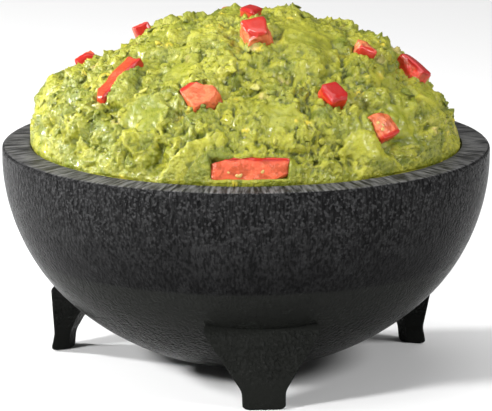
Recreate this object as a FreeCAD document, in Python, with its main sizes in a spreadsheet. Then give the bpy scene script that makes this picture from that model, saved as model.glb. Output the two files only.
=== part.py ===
"""Molcajete: a round bowl on three legs, heaped with guacamole and diced tomato.

Frame: millimetres, +Z up, origin on the bowl's axis at the level of the soles.
The front leg points along -Y, and the other two stand 120 degrees away on either side.
The bowl and its legs are one rigid body. The guacamole and its tomato are a second one,
which lies loose in the bowl and comes out upwards.
"""
import FreeCAD
import Part
import Sketcher

import math
import os
from collections import namedtuple

Vector = FreeCAD.Vector
Rotation = FreeCAD.Rotation
Placement = FreeCAD.Placement

UP = Vector(0, 0, 1)
ACROSS = Vector(0, 1, 0)

doc = FreeCAD.newDocument("molcajete")

# ---------------------------------------------------------------- driving dimensions, in mm

DIMENSIONS = [
    ("bowl_radius", 101.5),      # widest radius, at the equator of the belly
    ("bowl_depth", 90.0),        # depth of the whole belly below the equator
    ("bowl_side", 83.0),         # radius of the belly's side, which meets a flatter bottom
    ("equator_height", 91.5),    # equator above the surface that the soles stand on
    ("base_rise", 1.6),          # how far the small flat underneath is cut up into the belly
    ("rim_band", 3.6),           # straight band between the equator and the rim's face
    ("rim_round", 1.6),          # rounding of the rim's outer edge
    ("lip_round", 0.8),          # rounding of the rim's inner edge
    ("hollow_radius", 89.5),     # radius of the hollow at the rim
    ("hollow_depth", 78.0),      # depth of the hollow below the equator
    ("hollow_side", 70.0),       # radius of the hollow's side
    ("food_gap", 0.3),           # the filling stays this far from the bowl
    ("dice_side", 10.0),         # side of an average piece of tomato
]

# A leg's plan at five levels. Each is a trapezoid with its wide side facing outwards:
# level, height, outer face's radius, inner face's radius, outer width, inner width.
LEG_LEVELS = [
    ("sole", 0.0, 86.3, 80.6, 17.8, 6.0),
    ("ankle", 7.5, 84.6, 80.0, 18.8, 6.5),
    ("calf", 15.0, 82.8, 76.0, 29.4, 9.0),
    ("shoulder", 30.5, 78.9, 62.0, 51.4, 18.0),
    ("root", 34.0, 74.3, 50.0, 54.0, 21.0),
]
LEG_MEASURES = ["height", "outer", "inner", "wide", "back"]
LEG_BEARINGS = {"leg_front": -90, "leg_right": 30, "leg_left": 150}

# The heap's outline above the rim: level, radius, height above the rim's face.
HEAP_LEVELS = [
    ("brim", 89.0, 0.6),
    ("bank", 85.5, 14.0),
    ("brow", 76.0, 27.0),
    ("slope", 50.0, 43.0),
    ("crown", 22.0, 55.0),
    ("peak", 2.0, 58.0),
]

# One piece of tomato. bearing and reach place it round and away from the axis, sink is the
# depth of its middle below the heap's surface, spin turns it about the surface's normal,
# and the last three are its size in dice sides: down the slope, across it and out of it.
Dice = namedtuple("Dice", "bearing reach sink spin down across out")

TOMATO = [
    Dice(160, 69, 1.5, 20, 0.9, 0.9, 0.9),
    Dice(155, 46, 1.0, 35, 0.8, 0.7, 0.8),
    Dice(-150, 65, 2.0, 11, 2.9, 0.8, 0.9),
    Dice(-111, 67, 1.5, 40, 1.6, 1.4, 1.1),
    Dice(-60, 4, 3.5, 15, 0.8, 0.8, 0.8),
    Dice(-86, 29, 1.5, 12, 1.2, 1.2, 1.2),
    Dice(-24, 52, 0.5, 30, 0.9, 0.8, 0.8),
    Dice(-11, 69, 0.5, -35, 1.5, 0.7, 1.1),
    Dice(-64, 69, 0.5, 12, 1.1, 1.0, 0.9),
    Dice(-52, 82, 0.5, 10, 1.2, 1.1, 0.8),
    Dice(-94, 87.4, 4.6, 0, 1.0, 3.3, 1.0),
    Dice(34, 83, 1.0, 25, 1.2, 1.0, 0.9),
    Dice(62, 66, 0.5, -20, 1.5, 0.9, 1.0),
    Dice(74, 81, 1.0, 40, 1.1, 1.1, 0.9),
    Dice(92, 52, 0.5, 10, 1.2, 1.0, 1.0),
    Dice(112, 72, 1.0, -15, 2.0, 0.9, 0.9),
    Dice(140, 81, 0.5, 50, 1.0, 0.9, 0.9),
]

# ---------------------------------------------------------------- spreadsheet

sheet = doc.addObject("Spreadsheet::Sheet", "sizes")
rows = list(DIMENSIONS)
for level in LEG_LEVELS:
    rows += [(f"{level[0]}_{measure}", value) for measure, value in zip(LEG_MEASURES, level[1:])]
for level, radius, height in HEAP_LEVELS:
    rows += [(f"{level}_radius", radius), (f"{level}_height", height)]
for row, (alias, value) in enumerate(rows, start=1):
    sheet.set(f"A{row}", alias)
    sheet.set(f"B{row}", str(value))
    sheet.setAlias(f"B{row}", alias)
doc.recompute()


def size(alias):
    """A driving dimension's present value."""
    return float(getattr(sheet, alias))


# ---------------------------------------------------------------- helpers

ORIGIN = -1      # a sketch's own origin and X axis
AXIS = -2        # a sketch's own Y axis
START, END, CENTRE = 1, 2, 3


def rim_height():
    return size("equator_height") + size("rim_band")


def origin_plane(body, role):
    """One of a body's own origin planes."""
    return next(plane for plane in body.Origin.OriginFeatures if plane.Role == role)


def new_sketch(body, name, role):
    sketch = body.newObject("Sketcher::SketchObject", name)
    sketch.AttachmentSupport = [(origin_plane(body, role), "")]
    sketch.MapMode = "FlatFace"
    return sketch


def constrain(sketch, kind, *arguments, bound=None):
    """Adds one constraint, and binds a dimension to an expression of the spreadsheet."""
    index = sketch.addConstraint(Sketcher.Constraint(kind, *arguments))
    if bound:
        sketch.setExpression(f"Constraints[{index}]", bound)


def place_point(sketch, line, point, x, y):
    """Holds a point at two bound distances from the sketch's origin."""
    for kind, (value, bound) in (("DistanceX", x), ("DistanceY", y)):
        constrain(sketch, kind, ORIGIN, START, line, point, value, bound=bound)


def cell(alias, plus=(), less=()):
    """A cell's value and the expression that names it, with other cells added or taken off."""
    value = size(alias) + sum(size(other) for other in plus) - sum(size(other) for other in less)
    added = "".join(f" + sizes.{other}" for other in plus)
    taken = "".join(f" - sizes.{other}" for other in less)
    return value, f"sizes.{alias}{added}{taken}"


def cup_sketch(body, name, kind, less=(), flat_rise=None, top=()):
    """Half the section of a round cup that opens upwards, closed along its axis.

    The bottom is an arc about the axis and the side is an arc about the equator, tangent to
    each other. kind names the cells of its size, and less names what is taken off all three.
    Without flat_rise the bottom runs down to the axis. The points of top follow the rim.
    """
    radius, radius_bound = cell(f"{kind}_radius", less=less)
    depth, depth_bound = cell(f"{kind}_depth", less=less)
    side, side_bound = cell(f"{kind}_side", less=less)
    equator, equator_bound = cell("equator_height")
    across = radius - side
    bottom = (across ** 2 + depth ** 2 - side ** 2) / (2 * (depth - side))
    a, b, r = f"({radius_bound})", f"({depth_bound})", f"({side_bound})"
    bottom_bound = f"(({a} - {r}) ^ 2 + {b} ^ 2 - {r} ^ 2) / (2 * ({b} - {r}))"
    rise = size(flat_rise) if flat_rise else 0.0
    low = equator - depth + rise

    side_middle = Vector(across, equator, 0)
    bottom_middle = Vector(0, equator - depth + bottom, 0)
    joint = math.atan2(side_middle.y - bottom_middle.y, across)
    foot = math.asin((low - bottom_middle.y) / bottom)
    bottom_circle = Part.Circle(bottom_middle, UP, bottom)
    side_circle = Part.Circle(side_middle, UP, side)

    sketch = new_sketch(body, name, "XZ_Plane")
    bottom_arc = sketch.addGeometry(Part.ArcOfCircle(bottom_circle, foot, joint), False)
    side_arc = sketch.addGeometry(Part.ArcOfCircle(side_circle, joint, 0.0), False)
    constrain(sketch, "PointOnObject", bottom_arc, CENTRE, AXIS)
    constrain(sketch, "Radius", bottom_arc, bottom, bound=bottom_bound)
    constrain(sketch, "Radius", side_arc, side, bound=side_bound)
    place_point(
        sketch, side_arc, CENTRE,
        (across, f"{a} - {r}"), (equator, equator_bound),
    )
    constrain(sketch, "Tangent", bottom_arc, END, side_arc, START)

    # the outline above the equator, as bound points that end on the axis
    points = [((radius, radius_bound), cell("equator_height", plus=["rim_band"]))]
    points += list(top)
    points.append(((0.0, None), points[-1][1]))
    here = Vector(radius, equator, 0)
    last, last_end = side_arc, END
    for number, (x, y) in enumerate(points):
        there = Vector(x[0], y[0], 0)
        line = sketch.addGeometry(Part.LineSegment(here, there), False)
        constrain(sketch, "Coincident", last, last_end, line, START)
        if number == 0:
            constrain(sketch, "Horizontal", side_arc, END, side_arc, CENTRE)
        if x[1]:
            place_point(sketch, line, END, x, y)
        else:
            constrain(sketch, "PointOnObject", line, END, AXIS)
            constrain(sketch, "DistanceY", ORIGIN, START, line, END, y[0], bound=y[1])
        here, last, last_end = there, line, END
    down = sketch.addGeometry(Part.LineSegment(here, Vector(0, low, 0)), False)
    constrain(sketch, "Coincident", last, END, down, START)
    if flat_rise:
        low_bound = f"{equator_bound} - {b} + sizes.{flat_rise}"
        constrain(sketch, "DistanceY", ORIGIN, START, bottom_arc, START, low, bound=low_bound)
        foot_point = Vector(bottom * math.cos(foot), low, 0)
        flat = sketch.addGeometry(Part.LineSegment(Vector(0, low, 0), foot_point), False)
        constrain(sketch, "PointOnObject", down, END, AXIS)
        constrain(sketch, "Coincident", down, END, flat, START)
        constrain(sketch, "Coincident", flat, END, bottom_arc, START)
        constrain(sketch, "Horizontal", flat)
    else:
        constrain(sketch, "Coincident", down, END, bottom_arc, START)
        constrain(sketch, "PointOnObject", bottom_arc, START, AXIS)
    return sketch


def turned(body, kind, name, sketch):
    """A full turn of a sketch about its own vertical axis, added or cut away."""
    feature = body.newObject(f"PartDesign::{kind}", name)
    feature.Profile = sketch
    feature.ReferenceAxis = (sketch, ["V_Axis"])
    feature.Angle = 360
    doc.recompute()
    return feature


# ---------------------------------------------------------------- bowl

def rim_edge(shape, radius):
    """The name of the circle of a given radius on the rim's face."""
    for number, edge in enumerate(shape.Edges, start=1):
        level = abs(edge.BoundBox.ZMin - rim_height()) < 0.01 and edge.BoundBox.ZLength < 0.01
        if level and isinstance(edge.Curve, Part.Circle) and abs(edge.Curve.Radius - radius) < 0.01:
            return f"Edge{number}"
    raise ValueError(f"no rim edge of radius {radius}")


def make_bowl():
    """A thick round shell with a small flat underneath and a broad flat rim."""
    body = doc.addObject("PartDesign::Body", "bowl")
    body.Label = "bowl"
    outside = cup_sketch(body, "bowl_outside", "bowl", flat_rise="base_rise")
    blank = turned(body, "Revolution", "bowl_blank", outside)
    full = blank.Shape.Volume
    inside = cup_sketch(body, "bowl_inside", "hollow")
    hollow = turned(body, "Groove", "bowl_hollow", inside)
    if hollow.Shape.Volume > 0.5 * full:
        raise RuntimeError("the bowl isn't hollow")

    for name, radius, rounding in (
        ("rim_outer_edge", "bowl_radius", "rim_round"),
        ("rim_inner_edge", "hollow_radius", "lip_round"),
    ):
        before = body.Tip
        rounded = body.newObject("PartDesign::Fillet", name)
        rounded.Base = (before, [rim_edge(before.Shape, size(radius))])
        rounded.setExpression("Radius", f"sizes.{rounding}")
        doc.recompute()
    return body


# ---------------------------------------------------------------- legs

def leg_section(body, level):
    """The leg's plan at one level: a trapezoid that is symmetric about the body's X axis."""
    sketch = new_sketch(body, f"{body.Name}_{level}", "XY_Plane")
    sketch.setExpression("AttachmentOffset.Base.z", f"sizes.{level}_height")
    outer, outer_bound = cell(f"{level}_outer")
    inner, inner_bound = cell(f"{level}_inner")
    wide, wide_bound = cell(f"{level}_wide")
    back, back_bound = cell(f"{level}_back")
    corners = [
        Vector(inner, -back / 2, 0),
        Vector(outer, -wide / 2, 0),
        Vector(outer, wide / 2, 0),
        Vector(inner, back / 2, 0),
    ]
    for start, end in zip(corners, corners[1:] + corners[:1]):
        sketch.addGeometry(Part.LineSegment(start, end), False)
    face, rear = 1, 3
    for line in range(4):
        constrain(sketch, "Coincident", line, END, (line + 1) % 4, START)
    for line in (face, rear):
        constrain(sketch, "Symmetric", line, START, line, END, ORIGIN)
    constrain(sketch, "DistanceX", ORIGIN, START, face, START, outer, bound=outer_bound)
    constrain(sketch, "DistanceX", ORIGIN, START, rear, START, inner, bound=inner_bound)
    constrain(sketch, "DistanceY", face, START, face, END, wide, bound=wide_bound)
    constrain(sketch, "DistanceY", rear, END, rear, START, back, bound=back_bound)
    return sketch


def make_leg(label, bearing):
    """A tapering leg: a straight foot that spreads into a broad, flat-faced root."""
    body = doc.addObject("PartDesign::Body", label)
    body.Label = label
    sections = [leg_section(body, level[0]) for level in LEG_LEVELS]
    doc.recompute()

    stem = body.newObject("PartDesign::AdditiveLoft", f"{label}_stem")
    stem.Profile = sections[0]
    stem.Sections = sections[1:]
    stem.Ruled = True
    doc.recompute()
    whole = stem.Shape.Volume
    belly = cup_sketch(body, f"{label}_belly", "bowl")
    seat = turned(body, "Groove", f"{label}_seat", belly)
    if not 0 < seat.Shape.Volume < whole:
        raise RuntimeError(f"{label} isn't cut to the bowl")
    body.Placement = Placement(Vector(), Rotation(UP, bearing))
    return body


# ---------------------------------------------------------------- filling

def heap_surface(reach):
    """Height of the heap above the rim's face, and its slope in degrees, at a radius."""
    levels = [(size(f"{name}_radius"), size(f"{name}_height")) for name, _, _ in HEAP_LEVELS]
    for (wide, low), (narrow, high) in zip(levels, levels[1:]):
        if narrow <= reach <= wide:
            share = (wide - reach) / (wide - narrow)
            return low + share * (high - low), math.degrees(math.atan2(high - low, wide - narrow))
    raise ValueError(f"no heap at radius {reach}")


def make_tomato(number, dice):
    """One cut piece of tomato, bedded in the heap's surface."""
    piece = doc.addObject("Part::Box", f"tomato_{number:02d}")
    piece.Label = piece.Name
    for prop, share in (("Length", dice.down), ("Width", dice.across), ("Height", dice.out)):
        piece.setExpression(prop, f"{share} * sizes.dice_side")
    doc.recompute()
    height, slope = heap_surface(dice.reach)
    facing = Rotation(UP, dice.bearing) * Rotation(ACROSS, slope)
    angle = math.radians(dice.bearing)
    surface = Vector(
        dice.reach * math.cos(angle),
        dice.reach * math.sin(angle),
        rim_height() + height,
    )
    middle = surface - facing.multVec(UP) * dice.sink
    facing = facing * Rotation(UP, dice.spin)
    half = Vector(piece.Length.Value, piece.Width.Value, piece.Height.Value) / 2
    piece.Placement = Placement(middle - facing.multVec(half), facing)
    return piece


def make_guacamole(tomato):
    """The filling: it follows the hollow just clear of it, and rises in a heap."""
    body = doc.addObject("PartDesign::Body", "filling")
    heap = [
        (cell(f"{name}_radius"), cell(f"{name}_height", plus=["equator_height", "rim_band"]))
        for name, _, _ in HEAP_LEVELS
    ]
    section = cup_sketch(body, "filling_section", "hollow", less=["food_gap"], top=heap)
    turned(body, "Revolution", "filling_mass", section)
    beds = doc.addObject("Part::MultiFuse", "tomato_beds")
    beds.Shapes = tomato
    guacamole = doc.addObject("Part::Cut", "guacamole")
    guacamole.Label = "guacamole"
    guacamole.Base = body
    guacamole.Tool = beds
    return guacamole


# ---------------------------------------------------------------- build and write

parts = [make_bowl()]
parts += [make_leg(label, bearing) for label, bearing in LEG_BEARINGS.items()]
tomato = [make_tomato(number, dice) for number, dice in enumerate(TOMATO, start=1)]
parts += [make_guacamole(tomato)] + tomato
doc.recompute()

for made in doc.Objects:
    if "Invalid" in made.State or "Error" in made.State:
        raise RuntimeError(f"{made.Label} failed: {made.State}")

os.makedirs("parts", exist_ok=True)
for part in parts:
    shape = part.Shape
    if shape.isNull() or not shape.isValid() or len(shape.Solids) != 1:
        raise RuntimeError(f"{part.Label} is not one valid solid")
    shape.exportStep(f"parts/{part.Label}.step")
    box = shape.BoundBox
    print(
        f"{part.Label:12s} {shape.Volume / 1000:8.2f} cm3"
        f"  x {box.XMin:7.1f} {box.XMax:6.1f}  y {box.YMin:7.1f} {box.YMax:6.1f}"
        f"  z {box.ZMin:6.1f} {box.ZMax:6.1f}"
    )
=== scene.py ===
"""Molcajete heaped with guacamole and tomato: the looks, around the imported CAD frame.

Shapes are worked out in millimetres and written to meshes in metres. Everything random is seeded.
"""

from math import acos, asin, atan2, cos, pi, radians, sin, sqrt, tan

import bmesh
import bpy
import numpy as np
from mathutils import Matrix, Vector
from mathutils.kdtree import KDTree


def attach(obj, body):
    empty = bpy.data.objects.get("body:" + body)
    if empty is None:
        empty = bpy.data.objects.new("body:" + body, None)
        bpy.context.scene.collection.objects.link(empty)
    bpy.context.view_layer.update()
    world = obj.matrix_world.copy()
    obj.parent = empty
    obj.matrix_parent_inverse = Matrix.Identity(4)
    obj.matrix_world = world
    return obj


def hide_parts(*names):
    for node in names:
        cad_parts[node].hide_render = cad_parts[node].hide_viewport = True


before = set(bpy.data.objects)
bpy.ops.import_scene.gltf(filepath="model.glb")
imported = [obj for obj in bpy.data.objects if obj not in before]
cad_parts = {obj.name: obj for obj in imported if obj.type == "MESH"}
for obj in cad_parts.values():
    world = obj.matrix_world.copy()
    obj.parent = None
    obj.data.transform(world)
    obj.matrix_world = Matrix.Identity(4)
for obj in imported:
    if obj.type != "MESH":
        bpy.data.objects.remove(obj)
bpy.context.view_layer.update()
scene = bpy.context.scene

MM = 0.001

# -------- sizes, in mm

EQUATOR = 91.5  # widest level of the bowl, above the floor
RIM = 95.1  # the rim's face
BOWL_RADIUS, BOWL_DEPTH, BOWL_SIDE = 101.5, 90.0, 83.0
HOLLOW_RADIUS, HOLLOW_DEPTH, HOLLOW_SIDE = 89.5, 78.0, 70.0
BASE_RISE = 1.6  # the flat underneath
RIM_ROUND, LIP_ROUND = 1.6, 0.8
RIM_FALL = 0.7  # how far the worn rim face falls towards its outer edge
FOOD_GAP = 0.35  # the filling stays this far from the bowl

# -------- seeds of the random sources

BOWL_SEED, LEG_SEED, PRESSED_SEED = 11, 23, 31
HEAP_SEED, BROAD_SEED, LUMP_SEED = 3, 5, 41
BLOCK_SEED, BIT_SEED = 61, 62
CRUMB_SEED, CRUMB_SHAPE_SEED = 77, 78
TOMATO_SEED, FLESH_SEED = 100, 200  # each piece of tomato adds its number

NOISE_TABLE = 256  # directions in a noise's table, a power of two
NOISE_GAIN = 1.6  # brings the noise to about -1 to 1
LAYER_SHIFT = 17.3  # keeps the layers of a noise apart, in mm
VECTOR_SHIFTS = (0.0, 53.1, 101.7)


# -------- numeric helpers

def smooth_step(low, high, value):
    share = np.clip((value - low) / (high - low), 0.0, 1.0)
    return share * share * (3.0 - 2.0 * share)


def unit(vectors):
    return vectors / np.maximum(np.linalg.norm(vectors, axis=-1, keepdims=True), 1e-9)


def circle(turn):
    """Points on a unit circle at the angles."""
    return np.stack([np.cos(turn), np.sin(turn)], axis=1)


def turned_axes(turn):
    """The X, Y and Z axes turned about Z, one to a row."""
    cosine, sine = cos(turn), sin(turn)
    return np.array([[cosine, sine, 0], [-sine, cosine, 0], [0, 0, 1]])


class Noise:
    """Gradient noise in space, about -1 to 1, the same for the same seed."""

    def __init__(self, seed):
        source = np.random.default_rng(seed)
        order = source.permutation(NOISE_TABLE)
        self.order = np.concatenate([order, order, order])
        self.slopes = unit(source.normal(size=(NOISE_TABLE, 3)))

    def __call__(self, points, size):
        scaled = points / size
        cell = np.floor(scaled).astype(int)
        part = scaled - cell
        cell &= NOISE_TABLE - 1
        blend = part ** 3 * (part * (part * 6.0 - 15.0) + 10.0)
        total = np.zeros(len(points))
        for corner in np.ndindex(2, 2, 2):
            x, y, z = ((cell + corner) & (NOISE_TABLE - 1)).T
            slope = self.slopes[self.order[self.order[self.order[x] + y] + z]]
            weight = np.where(corner, blend, 1.0 - blend).prod(axis=1)
            total += weight * ((part - corner) * slope).sum(axis=1)
        return total * NOISE_GAIN

    def layered(self, points, size, layers=3):
        """Several layers, each half as large and half as strong as the last."""
        return sum(self(points + LAYER_SHIFT * layer, size / 2 ** layer) / 2 ** layer
                   for layer in range(layers))

    def vectors(self, points, size):
        return np.stack([self(points + shift, size) for shift in VECTOR_SHIFTS], axis=1)


class Cup:
    """A round cup's section: an arc about the axis, then a tangent arc up to the equator."""

    def __init__(self, radius, depth, side):
        self.radius, self.side = radius, side
        self.across = radius - side
        self.low = EQUATOR - depth
        self.bottom = (self.across ** 2 + depth ** 2 - side ** 2) / (2 * (depth - side))
        self.middle = self.low + self.bottom
        self.joint = atan2(EQUATOR - self.middle, self.across)

    def section(self, step, flat=0.0):
        """Radius and height of points from the bottom up to the equator."""
        start = asin((self.low + flat - self.middle) / self.bottom)
        count = max(2, round((self.joint - start) * self.bottom / step))
        turn = np.linspace(start, self.joint, count, endpoint=False)
        under = circle(turn) * self.bottom + [0, self.middle]
        count = max(2, round(-self.joint * self.side / step))
        turn = np.linspace(self.joint, 0.0, count)
        return np.concatenate([under, circle(turn) * self.side + [self.across, EQUATOR]])

    def centre(self, radius, height):
        """The middle of the arc that each point belongs to, and that arc's radius."""
        beside = np.arctan2(height - EQUATOR, radius - self.across) > self.joint
        middle_radius = np.where(beside, self.across, 0.0)
        middle_height = np.where(beside, EQUATOR, self.middle)
        return middle_radius, middle_height, np.where(beside, self.side, self.bottom)

    def keep_near(self, points, deepest):
        """Points deeper than that behind the surface move out to that depth."""
        radius = np.hypot(points[:, 0], points[:, 1])
        middle_radius, middle_height, arc = self.centre(radius, points[:, 2])
        away = np.stack([radius - middle_radius, points[:, 2] - middle_height], axis=1)
        reach = np.linalg.norm(away, axis=1)
        scale = np.maximum(reach, arc - deepest) / reach
        new_radius = middle_radius + away[:, 0] * scale
        moved = points.copy()
        moved[:, :2] *= (new_radius / np.maximum(radius, 1e-6))[:, None]
        moved[:, 2] = middle_height + away[:, 1] * scale
        return moved


bowl_cup = Cup(BOWL_RADIUS, BOWL_DEPTH, BOWL_SIDE)
hollow_cup = Cup(HOLLOW_RADIUS, HOLLOW_DEPTH, HOLLOW_SIDE)
food_cup = Cup(HOLLOW_RADIUS - FOOD_GAP, HOLLOW_DEPTH - FOOD_GAP, HOLLOW_SIDE - FOOD_GAP)


# -------- mesh helpers

def add_piece(name, points, faces, body, material, stands_for, values=None):
    """A smooth mesh piece that rides a body. values are named numbers for each vertex."""
    mesh = bpy.data.meshes.new(name)
    mesh.from_pydata((points * MM).tolist(), [], faces)
    mesh.validate()
    mesh.shade_smooth()
    for key, numbers in (values or {}).items():
        mesh.attributes.new(key, "FLOAT", "POINT").data.foreach_set("value", numbers)
    piece = placed(name, mesh)
    mesh.materials.append(material)
    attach(piece, body)
    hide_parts(*stands_for)


def padded(values, count, fills):
    """Named numbers with as many more of each fill."""
    return {key: np.concatenate([numbers, np.full(count, fills[key])])
            for key, numbers in values.items()}


def placed(name, data):
    """A new object in the scene."""
    thing = bpy.data.objects.new(name, data)
    scene.collection.objects.link(thing)
    return thing


def ring_points(section, count):
    """Points of a section turned about the Z axis, ring by ring."""
    turn = np.linspace(0.0, 2 * pi, count, endpoint=False) - pi / 2
    radius, height = section[:, 0][:, None], section[:, 1][:, None]
    rings = [radius * np.cos(turn), radius * np.sin(turn), height + 0 * turn]
    return np.stack(rings, axis=2).reshape(-1, 3)


def ring_faces(rings, count, first=0):
    """Quads between neighbouring rings of the same count."""
    faces = []
    for ring in range(rings - 1):
        low, high = first + ring * count, first + (ring + 1) * count
        for here in range(count):
            there = (here + 1) % count
            faces.append((low + here, low + there, high + there, high + here))
    return faces


def fan(ring, tip, flip=False):
    """Triangles from a closed ring of vertices to one vertex."""
    pairs = zip(ring, ring[1:] + ring[:1])
    return [(b, a, tip) if flip else (a, b, tip) for a, b in pairs]


# -------- material helpers

class Shader:
    """A node material, written as a chain of short calls."""

    def __init__(self, name):
        self.material = bpy.data.materials.new(name)
        self.material.use_nodes = True
        self.tree = self.material.node_tree
        self.surface = self.tree.nodes["Principled BSDF"]
        self.place = self.add("TexCoord").outputs["Object"]

    def add(self, kind, settings=None, **inputs):
        node = self.tree.nodes.new("ShaderNode" + kind)
        for key, value in (settings or {}).items():
            setattr(node, key, value)
        for key, value in inputs.items():
            self.feed(node, key, value)
        return node

    def feed(self, node, key, value):
        socket = node.inputs[int(key[1:])] if key[0] == "_" else node.inputs[key.replace("_", " ")]
        if isinstance(value, bpy.types.NodeSocket):
            self.tree.links.new(value, socket)
        else:
            socket.default_value = value

    def math(self, operation, first, second=0.0, clamp=False):
        settings = {"operation": operation, "use_clamp": clamp}
        return self.add("Math", settings, _0=first, _1=second).outputs[0]

    def times(self, first, second):
        return self.math("MULTIPLY", first, second)

    def vector_math(self, operation, first, output="Vector", **inputs):
        return self.add("VectorMath", {"operation": operation}, _0=first, **inputs).outputs[output]

    def ramp(self, value, low, high, to_low=0.0, to_high=1.0):
        """A smooth step of a value from one range to another, held at both ends."""
        return self.add("MapRange", {"interpolation_type": "SMOOTHSTEP"}, Value=value, From_Min=low,
                        From_Max=high, To_Min=to_low, To_Max=to_high).outputs["Result"]

    def mix(self, share, first, second):
        """A colour between two colours."""
        ends = [(*value, 1.0) if isinstance(value, tuple) else value for value in (first, second)]
        node = self.add("Mix", {"data_type": "RGBA"}, _0=share, _6=ends[0], _7=ends[1])
        return node.outputs[2]

    def stretched(self, scale):
        """The place in the object, with each axis scaled."""
        return self.add("Mapping", Vector=self.place, Scale=scale).outputs["Vector"]

    def noise(self, size, detail=3.0, vector=None, distortion=0.0):
        return self.add("TexNoise", Vector=vector or self.place, Scale=1.0 / (size * MM),
                        Detail=detail, Roughness=0.55, Distortion=distortion).outputs["Fac"]

    def cells(self, size, feature="F1", vector=None):
        return self.add("TexVoronoi", {"feature": feature}, Vector=vector or self.place,
                        Scale=1.0 / (size * MM)).outputs["Distance"]

    def value(self, name):
        """One of the mesh's own numbers."""
        return self.add("Attribute", {"attribute_name": name}).outputs["Fac"]

    def bump(self, height, depth, strength, normal=None):
        """Relief of a depth in mm where the height runs from 0 to 1."""
        node = self.add("Bump", Height=height, Distance=depth * MM, Strength=strength)
        if normal:
            self.feed(node, "Normal", normal)
        return node.outputs["Normal"]

    def finish(self, **inputs):
        for key, value in inputs.items():
            self.feed(self.surface, key, value)
        return self.material


# -------- charcoal plastic

# The body's dark and light colours: painted shade low on the wall, painted light high on it.
CHARCOAL_DEEP, CHARCOAL_PAINTED_LIT = (0.0004, 0.0004, 0.0005), (0.0230, 0.0232, 0.0235)
# the colour of the raised grain is painted highlight
GRAIN_HIGHLIGHT = (0.058, 0.058, 0.059)
# the rim's brushed streaks are its own; their light grey is partly painted sheen for the reflection on
# the upward face
BRUSH_DARK, BRUSH_LIGHT = (0.014, 0.014, 0.014), (0.150, 0.149, 0.149)
HOLLOW_COLOUR = (0.016, 0.017, 0.015)
CHARCOAL_IOR = 1.09  # low, so that the pale floor hardly shows in the belly

# Sizes and depths of the moulded textures, in mm.
PEBBLE_SIZE, PEBBLE_DEPTH = 1.30, 2.00
WORM_SIZE, WORM_SHARE = 1.1, 0.7
STREAK_SIZE, STREAK_DEPTH = 1.1, 0.60
GRIT_SIZE, GRIT_DEPTH = 0.7, 0.35
BRUSH_SIZE, BRUSH_DEPTH = 1.5, 0.30


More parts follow.
